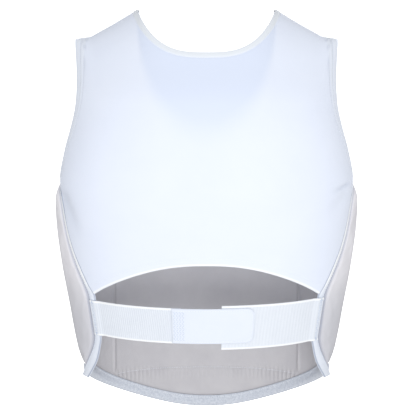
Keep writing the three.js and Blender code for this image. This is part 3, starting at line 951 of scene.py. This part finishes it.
def front_pad():
    edge = PLATE_ANGLE - turn(GAP / 2, PLATE_ANGLE, PLATE_FOOT)
    angles = mirrored(joined((0, 0.9, 30), (0.9, 1, 8))) * edge
    apron = joined((0, 1, 8))[:-1]
    plate = joined((1, 1.06, 10), (1.06, 1.94, 68), (1.94, 2, 10))
    angle, row = np.meshgrid(angles, np.concatenate([apron, plate]))
    on_apron = row < 1
    drop = np.where(on_apron, mix(hem_drop(angle), PLATE_FOOT, row), mix(PLATE_FOOT, PLATE_TOP, row - 1))
    inside = np.minimum.reduce([PLATE_FOOT - drop, drop - PLATE_TOP, arc(edge - np.abs(angle))])
    distance = np.where(on_apron, 0, inside)
    pad("front_pad_cover", "front_pad", angle, drop, distance, PAD_CROWN["plate"], 0.7)


def pad_drop(angle, top, level):
    """Drop at which a level of the seam lies in a column of the pads, from the hem up to its top."""
    foot = hem_drop(angle)
    climb = (FLANGE_TOP - level) / (FLANGE_TOP - SEAM_TOP)
    return np.where(level > FLANGE_TOP, foot - (SEAM_FOOT - level), mix(foot - HEM_FLANGE, top, climb))


def side_spot(share, level):
    """Angle and drop of a spot of a side pad, and the top of its column, from the plate to the rear edge."""
    top = mix(SEAM_TOP, PLATE_TOP, (1 - share) ** ARMPIT_POWER)
    angle = mix(PLATE_ANGLE, column(SEAM, "pad", level), share)
    return angle, pad_drop(mix(PLATE_ANGLE, SEAM["pad"][-1], share), top, level), top


SIDE_LEVELS = joined((SEAM_FOOT, 440, 16), (440, 250, 46), (250, SEAM_TOP, 10))
# Painted shade low on the side pads, fading out towards the plate
GREY_DROPS = (305, 400)
GREY_ANGLES = (66, 92)
# Painted shade in a thin line along the pad's rear seam
SEAM_LINE = {"width": 0.5, "shade": 0.42, "fade": (400, 440)}


def side_pad(name, node, side):
    shares = joined((0, 0.12, 7), (0.12, 0.88, 26), (0.88, 0.985, 6), (0.985, 1, 4))
    share, level = np.meshgrid(shares, SIDE_LEVELS)
    angle, drop, top = side_spot(share, level)
    rear = column(SEAM, "pad", level)
    inset = turn(GAP / 2, angle, drop)
    to_sides = np.minimum(arc(angle - PLATE_ANGLE), arc(rear - angle))
    to_ends = np.minimum(hem_drop(angle) - HEM_FLANGE - drop, drop - top) * PAD_REACH / END_REACH
    distance = np.maximum(0, np.minimum(to_sides, to_ends))
    held = np.clip(angle, PLATE_ANGLE + inset, rear - inset)
    piece = pad(name, node, side * held, drop, distance, PAD_CROWN["side"], 0.6)
    # Painted shade: greyer low on the pad, where it turns away from the light
    low_down = smooth(*GREY_DROPS, drop) * smooth(*GREY_ANGLES, angle)
    # Painted shade along the rear seam
    in_seam = fade(0, SEAM_LINE["width"], arc(rear - angle)) * fade(*SEAM_LINE["fade"], drop)
    tint(piece, low_down=low_down, sunken=SEAM_LINE["shade"] * in_seam)


# Lining, tapes and binding

PLEAT = {"x": 131, "depth": 2.2, "width": 1.2, "shade": 0.55, "beside": 2.4, "fade": 8}
PUCKER = {"pitch": 5.8, "height": 2.8, "reach": 8.5, "lower": 6, "middle": 0.15, "power": 3, "shade": 0.3}
PUCKER_END = (PLEAT["x"] - 5, PLEAT["x"] - 1)
STITCH_GROOVE = {"depth": 0.7, "width": 1.6, "thread": 0.1}
PRESSED_FLAT = (-1, 3)


def lining():
    """Inner cloth behind the pads, with a pleat along each edge of the plate and a puckered stitch line."""
    levels = joined((SEAM_FOOT, FLANGE_TOP, 8), (FLANGE_TOP, 420, 42), (420, SEAM_TOP, 46))
    plate = joined((0, 1, 140)) * PLATE_ANGLE
    shares = joined((0, 0.16, 14), (0.16, 1, 24))[1:]
    angle_p, level_p = np.meshgrid(plate, levels)
    drop_p = pad_drop(angle_p, PLATE_TOP, level_p)
    share_s, level_s = np.meshgrid(shares, levels)
    angle_s, drop_s, _ = side_spot(share_s, level_s)
    half_angle = np.concatenate([angle_p, angle_s], 1)
    half_drop = np.concatenate([drop_p, drop_s], 1)
    angle = np.concatenate([-half_angle[:, :0:-1], half_angle], 1)
    drop = np.concatenate([half_drop[:, :0:-1], half_drop], 1)
    x = np.abs(on_body(angle, drop)[..., 0])
    on_plate = fade(*PUCKER_END, x)
    above_hem = fade(FLANGE_TOP - PLEAT["fade"], FLANGE_TOP, levels)[:, None]
    pleat = PLEAT["depth"] * above_hem * bump(x, PLEAT["x"], PLEAT["width"])
    ends = mix(PUCKER["middle"], 1, np.minimum(1, x / PLEAT["x"]) ** PUCKER["power"])
    to_binding = hem_drop(angle) - HEM_HEIGHT - drop
    puckered = on_plate * ends * bump(drop, PLATE_FOOT + PUCKER["lower"], PUCKER["reach"])
    puckered = puckered * smooth(*PRESSED_FLAT, to_binding)
    rib = 0.5 + 0.5 * np.cos(2 * np.pi * x / PUCKER["pitch"])
    stitched = STITCH_GROOVE["depth"] * bump(drop, PLATE_FOOT, STITCH_GROOVE["width"])
    relief = pleat + PUCKER["height"] * puckered * rib - on_plate * stitched
    outer = off_body(angle, drop, LINING_OUT)
    inner = off_body(angle, drop, LINING_OUT - LINING - np.maximum(relief, -STITCH_GROOVE["depth"]))
    piece = wall("lining_cloth", outer, inner, LINING_LOOK, "lining")
    # Painted shade beside each pleat and in the pucker hollows
    beside = above_hem * bump(x, PLEAT["x"] - PLEAT["beside"], PLEAT["width"])
    hollow = PUCKER["shade"] * puckered * (1 - rib) + PLEAT["shade"] * beside
    give_values(piece, "sunken", np.zeros_like(hollow), hollow)
    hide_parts("lining")
    row_angle = np.linspace(-PLATE_ANGLE, PLATE_ANGLE, 160)
    row = off_body(row_angle, PLATE_FOOT, LINING_OUT - LINING - STITCH_GROOVE["thread"])
    stitches = [running_stitch(row, -outward(row_angle, PLATE_FOOT))]
    sewn = thread("lining_stitches", stitches, THREAD_LOOK)


def side_tape(name, node, side):
    """Tape along the rear edge of a pad, sewn down along both of its own edges."""
    shares = joined((0, 0.15, 6), (0.15, 0.85, 8), (0.85, 1, 6))
    level, share = np.meshgrid(joined((SEAM_FOOT, SEAM_TOP, 120)), shares, indexing="ij")
    start = column(SEAM, "pad", level) + turn(GAP, SEAM_ANGLE, level)
    end = column(SEAM, "tape", level) - turn(GAP / 2, SEAM_ANGLE, level)
    grooves = sum(bump(share, place, TAPE_ROWS["line"]) for place in TAPE_ROWS["places"])
    down = np.maximum(0, (level - TAPE_TIP["start"]) / (SEAM_FOOT - TAPE_TIP["start"]))

    def tilt(place):
        curl = TAPE_TIP["curl"] * down ** TAPE_TIP["power"]
        return down * mix(TAPE_TIP["pad"], TAPE_TIP["free"], place) + curl

    lift = tilt(share)
    sunk = mix(TAPE_ROUND["edge"], TAPE_ROUND["tip"], down)
    crowned = (sunk + TAPE_ROUND["crown"]) * dome(share)
    angle = side * mix(start, end, share)
    outer = off_body(angle, level, lift + TAPE / 2 - sunk + crowned - TAPE_ROWS["groove"] * grooves)
    inner = off_body(angle, level, lift - TAPE / 2)
    piece = wall(name, outer, inner, TAPE_LOOK, "tape")
    from_pad = lengths(outer, 1)
    from_cloth = from_pad[:, -1:] - from_pad
    # Painted shade along both sewn edges, none under the strap on the cloth side or near the free tip on the
    # pad side
    behind_strap = bump(level, STRAP["level"], LEFT_ELASTIC["height"] / 2)
    at_pad = fade(*TAPE_SEAMS["pad"], from_pad) * (1 - down)
    at_cloth = fade(*TAPE_SEAMS["cloth"], from_cloth) * (1 - behind_strap)
    # Painted light: the tape is whiter above the strap
    tint(piece, sunken=np.maximum(at_pad, at_cloth), rolled=fade(*TAPE_FADE, level))
    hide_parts(node)
    stitches = []
    for place in TAPE_ROWS["places"]:
        row = side * mix(start[:, 0], end[:, 0], place)
        drops = level[:, 0]
        points = off_body(row, drops, tilt(place)[:, 0] + TAPE / 2 - TAPE_ROWS["sunk"])
        stitches.append(running_stitch(points, outward(row, drops)))
    sewn = thread(name + "_stitches", stitches, THREAD_LOOK)


def hem_binding():
    """Tape folded over the lower edge of the front and sewn through, with its ends tucked shut."""
    corner = SEAM["pad"][-1] - GAP
    tuck = np.linspace(0, np.pi / 2, TUCK["rows"])[1:]
    ends = corner + turn(TUCK["reach"], corner, SEAM_FOOT) * np.sin(tuck)
    straight = joined((0, corner, 110))
    open_share = np.maximum(np.cos(tuck), TUCK["shut"])
    angle = mirrored(np.concatenate([straight, ends]))
    spread = np.abs(mirrored(np.concatenate([np.ones_like(straight), open_share])))[:, None]
    drop = hem_drop(angle)[:, None]
    outside = PAD_EDGE + LINING_GAP + GAP + BINDING / 2
    inside = LINING_OUT - LINING - 3 * GAP - BINDING / 2
    centre = (outside + inside) / 2
    half_width = (outside - inside) / 2
    fall = LINING_GAP + BINDING / 2
    bend = np.linspace(0, np.pi, 15)
    down = np.linspace(-HEM_HEIGHT, fall - half_width, 14)[:-1]
    lower = np.concatenate([down, fall - half_width + half_width * np.sin(bend), down[::-1]])
    aside = np.concatenate([np.full_like(down, 1), np.cos(bend), np.full_like(down, -1)]) * half_width
    sewn_at = STITCH_ROW - HEM_HEIGHT
    dip = BINDING_ROW["depth"] * bump(lower, sewn_at, BINDING_ROW["width"])
    line = np.stack([lower, aside], -1)
    tangent = unit(np.gradient(line, axis=0))
    thick = BINDING / 2 * np.stack([-tangent[:, 1], tangent[:, 0]], -1)

    def grid(section):
        return off_body(angle[:, None], drop + section[:, 0], centre + spread * section[:, 1])

    outer = grid(line - thick * (1 - dip[:, None]))
    inner = grid(line + thick)
    piece = wall("hem_binding_tape", outer, inner, BINDING_LOOK, "tape")
    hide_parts("hem_binding")
    stitches = []
    along = angle[TUCK["rows"]:-TUCK["rows"]]
    for place, face in ((outside + BINDING / 2, 1), (inside - BINDING / 2, -1)):
        line_drop = hem_drop(along) + sewn_at
        points = off_body(along, line_drop, place - BINDING_ROW["sunk"] * face)
        stitches.append(running_stitch(points, face * outward(along, line_drop)))
    sewn = thread("hem_binding_stitches", stitches, THREAD_LOOK, radius=BINDING_ROW["radius"])


# Closure strap


def back_angle(x, drop):
    power = column(SECTIONS, "square", drop)
    half = column(SECTIONS, "half", drop)
    behind = column(SECTIONS, "back", drop) * (1 - np.abs(x / half) ** power) ** (1 / power)
    return 180 - np.degrees(np.arctan2(x, behind))


def strap_level(angle):
    start = column(SEAM, "tape", STRAP["level"])
    return STRAP["level"] + STRAP["sag"] * (1 - ((180 - angle) / (180 - start)) ** 2)


SEWN_END = 8
SEWN_ROWS = (2.5, SEWN_END - 2.5)
STRAP_LIFT = 2.6
STRAP_EASE = (SEWN_END - 1, SEWN_END + 7)
RIBS = {"start": (SEWN_END - 2, SEWN_END + 2), "steps": 8, "shade": 2, "power": 1.5}
SELVEDGE = {"from": 0.44, "middle": 0.47, "width": 0.02, "lift": 0.25}
ZIGZAG = 4


def elastic(name, node, side, strap):
    """Ribbed elastic, with its flattened end sewn on top of the tape."""
    ribs = int(STRAP["run"] / strap["rib"])
    heights = mirrored(joined((0, 0.42, 8), (0.42, 0.5, 8)))
    share, height = np.meshgrid(np.linspace(0, 1, ribs * RIBS["steps"] + 1), heights)
    level = STRAP["level"] + strap["lower"] + height * strap["height"]
    tape = column(SEAM, "tape", level)
    sewn = tape - turn(SEWN_END, tape, level)
    sewn = sewn if side > 0 else 360 - sewn
    angle = mix(sewn, back_angle(strap["end"], STRAP["level"]), share)
    drop = strap_level(angle) + strap["lower"] + height * strap["height"]
    along = lengths(on_body(angle, drop), 1)
    wave = 0.5 + 0.5 * np.cos(2 * np.pi * along / strap["rib"])
    free = smooth(*RIBS["start"], along) * fade(SELVEDGE["from"], 0.5, np.abs(height))
    selvedge = SELVEDGE["lift"] * bump(np.abs(height), SELVEDGE["middle"], SELVEDGE["width"])
    ribbed = strap["relief"] * (wave - 0.5) * free
    lift = STRAP_LIFT * fade(*STRAP_EASE, along)
    outer = off_body(angle, drop, lift + ELASTIC / 2 + ribbed + selvedge)
    inner = off_body(angle, drop, lift - ELASTIC / 2 - ribbed / 2)
    piece = wall(name, outer, inner, ELASTIC_LOOK, "elastic")
    # Painted shade in the hollows between ribs
    hollow = RIBS["shade"] * strap["relief"] * (1 - wave) ** RIBS["power"] * free
    give_values(piece, "rib_hollow", hollow, hollow)
    from_edge = (0.5 - np.abs(height)) * strap["height"]
    tint(piece, rolled=fade(*ROLL, from_edge))
    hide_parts(node)
    normals = outward(angle, drop)
    near, far = (line_at(outer, along, place, 1) for place in SEWN_ROWS)
    stitches = [
        running_stitch(points, line_at(normals, along, place, 1))
        for points, place in zip((near, far), SEWN_ROWS)
    ]
    facing = line_at(normals, along, SEWN_END / 2, 1)
    tooth = np.linspace(0, len(near) - 1, 2 * int(strap["height"] / ZIGZAG)).astype(int)
    starts = np.where((np.arange(len(tooth)) % 2)[:, None], far[tooth], near[tooth])
    stitches.append((starts[:-1], starts[1:], facing[tooth[:-1]]))
    sewn_down = thread(name + "_stitches", stitches, TAB_THREAD)


def closure_tab():
    """Smooth tab with rounded far corners, sewn to the left elastic and pressed on the right one."""
    length = TAB["from"] - TAB["to"]
    round_end = 1 - np.cos(np.linspace(0, np.pi / 2, 14))
    steps = np.concatenate([round_end * TAB["corner"] / length, joined((TAB["corner"] / length, 1, 60))[1:]])
    step, height = np.meshgrid(steps, mirrored(joined((0, 0.42, 9), (0.42, 0.5, 5))))
    x = mix(TAB["to"], TAB["from"], step)
    angle = back_angle(x, STRAP["level"])
    into_corner = np.clip(1 - step * length / TAB["corner"], 0, 1)
    cut = TAB["corner"] * (1 - np.sqrt(1 - into_corner ** 2))
    tall = TAB["height"] - 2 * cut
    drop = strap_level(angle) + TAB["lower"] + height * tall
    base = ELASTIC / 2 + GAP
    from_edge = np.minimum.reduce([(0.5 - np.abs(height)) * tall, step * length, (1 - step) * length])
    rounded = TAB_EDGE["fall"] * fade(0, TAB_EDGE["reach"], from_edge)
    groove = TAB_EDGE["groove"] * bump(from_edge, TAB["sewn"], TAB_EDGE["line"])
    outer = off_body(angle, drop, base + TAB_THICK - rounded - groove)
    inner = off_body(angle, drop, base)
    piece = wall("closure_tab_cloth", outer, inner, TAB_LOOK, "tab")
    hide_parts("closure_tab")
    face = base + TAB_THICK - TAB_EDGE["sunk"]

    def on_tab(x_place, height_place):
        at = back_angle(x_place, STRAP["level"])
        where = strap_level(at) + TAB["lower"] + height_place
        return off_body(at, where, face), outward(at, where)

    inset = TAB["height"] / 2 - TAB["sewn"]
    corner = TAB["corner"] - TAB["sewn"]
    bend = np.linspace(0, np.pi / 2, 8)
    left = TAB["from"] - TAB["sewn"]
    right = TAB["to"] + TAB["sewn"]
    line_x = np.concatenate([
        np.linspace(left, right + corner, 40), right + corner * (1 - np.sin(bend)),
        right + corner * (1 - np.cos(bend)), np.linspace(right + corner, left, 40), [left, left],
    ])
    line_h = np.concatenate([
        np.full(40, -inset), -inset + corner * (1 - np.cos(bend)),
        inset - corner * (1 - np.sin(bend)), np.full(40, inset), [0, -inset],
    ])
    border = running_stitch(*on_tab(line_x, line_h))
    crosses = []
    teeth = np.arange(int(2 * inset / CROSSES["pitch"]) + 1)
    zig_h = np.linspace(CROSSES["margin"] - inset, inset - CROSSES["margin"], len(teeth))
    for row in range(CROSSES["rows"]):
        zig_x = left + CROSSES["margin"] - CROSSES["step"] * row - CROSSES["width"] * (teeth % 2)
        points, normals = on_tab(zig_x, zig_h)
        crosses.append((points[:-1], points[1:], normals[:-1]))
    sewn = thread("closure_tab_stitches", [border], THREAD_LOOK)
    crossed = thread("closure_tab_crosses", crosses, TAB_THREAD, radius=CROSSES["radius"])


# Camera, light and floor

CAMERA_PLACE = (0, 1.78248, -0.00569)
CAMERA_AIM = (0, 0, -0.2562)
LENS = 118.9
SHIFT_X = 0.0036
FLOOR = {"z": -1.4, "radius": 9, "bend": 2, "rise": 5, "rings": 12, "around": 64}
AMBIENT = 0.715
KEY_LIGHT = {"place": (-0.2, 3.0, -0.28), "size": 1.2, "power": 43}
FRONT_LIGHT = {"place": (0, -3.0, 0.4), "size": 2.2, "power": 44}


def aimed(thing, place, aim):
    thing.location = place
    thing.rotation_euler = (Vector(aim) - Vector(place)).to_track_quat("-Z", "Y").to_euler()
    bpy.context.scene.collection.objects.link(thing)


def camera():
    data = bpy.data.cameras.new("camera")
    data.lens = LENS
    data.sensor_width = 36
    data.shift_x = SHIFT_X
    thing = bpy.data.objects.new("camera", data)
    aimed(thing, CAMERA_PLACE, CAMERA_AIM)
    bpy.context.scene.camera = thing


def soft_light(name, place, size, power):
    data = bpy.data.lights.new(name, "AREA")
    data.shape = "DISK"
    data.size = size
    data.energy = power
    aimed(bpy.data.objects.new(name, data), place, CAMERA_AIM)


def studio_floor():
    """White floor that curves up all round, bright by itself so that it stays even."""
    rings, around = FLOOR["rings"], FLOOR["around"]
    bend = np.linspace(0.1, 1.5, rings)
    level_radii = np.linspace(NEAR, FLOOR["radius"], rings)
    radii = np.concatenate([level_radii, FLOOR["radius"] + FLOOR["bend"] * np.sin(bend)])[:, None]
    rises = np.concatenate([np.zeros(rings), FLOOR["rise"] * (1 - np.cos(bend))])[:, None]
    turns = np.linspace(0, 2 * np.pi, around + 1)[:-1]
    across, along = radii * np.cos(turns), radii * np.sin(turns)
    points = np.stack([across, along, FLOOR["z"] + np.broadcast_to(rises, across.shape)], -1)
    index = np.arange(across.size).reshape(across.shape)
    ahead = np.roll(index, -1, axis=1)
    faces = np.stack([index[:-1], ahead[:-1], ahead[1:], index[1:]], -1).reshape(-1, 4).tolist()
    mesh = bpy.data.meshes.new("studio_floor")
    mesh.from_pydata(points.reshape(-1, 3).tolist(), [], [*faces, list(range(around))[::-1]])
    floor = bpy.data.objects.new("studio_floor", mesh)
    bpy.context.scene.collection.objects.link(floor)
    white = bpy.data.materials.new("studio_white")
    white.use_nodes = True
    shader = white.node_tree.nodes["Principled BSDF"]
    shader.inputs["Base Color"].default_value = (0.9, 0.9, 0.9, 1)
    shader.inputs["Emission Color"].default_value = (1, 1, 1, 1)
    shader.inputs["Emission Strength"].default_value = 1.0
    mesh.materials.append(white)
    floor.visible_diffuse = False
    floor.visible_glossy = False


def studio():
    scene = bpy.context.scene
    scene.view_settings.view_transform = "Standard"
    world = bpy.data.worlds.new("studio")
    world.use_nodes = True
    background = world.node_tree.nodes["Background"]
    background.inputs["Color"].default_value = (1, 1, 1, 1)
    background.inputs["Strength"].default_value = AMBIENT
    scene.world = world
    soft_light("key", **KEY_LIGHT)
    soft_light("front", **FRONT_LIGHT)
    studio_floor()


camera()
studio()
back_panel()
front_yoke()
front_pad()
side_pad("side_pad_left_cover", "side_pad_left", 1)
side_pad("side_pad_right_cover", "side_pad_right", -1)
lining()
side_tape("side_tape_left_band", "side_tape_left", 1)
side_tape("side_tape_right_band", "side_tape_right", -1)
hem_binding()
elastic("elastic_left_band", "elastic_left", 1, LEFT_ELASTIC)
elastic("elastic_right_band", "elastic_right", -1, RIGHT_ELASTIC)
closure_tab()
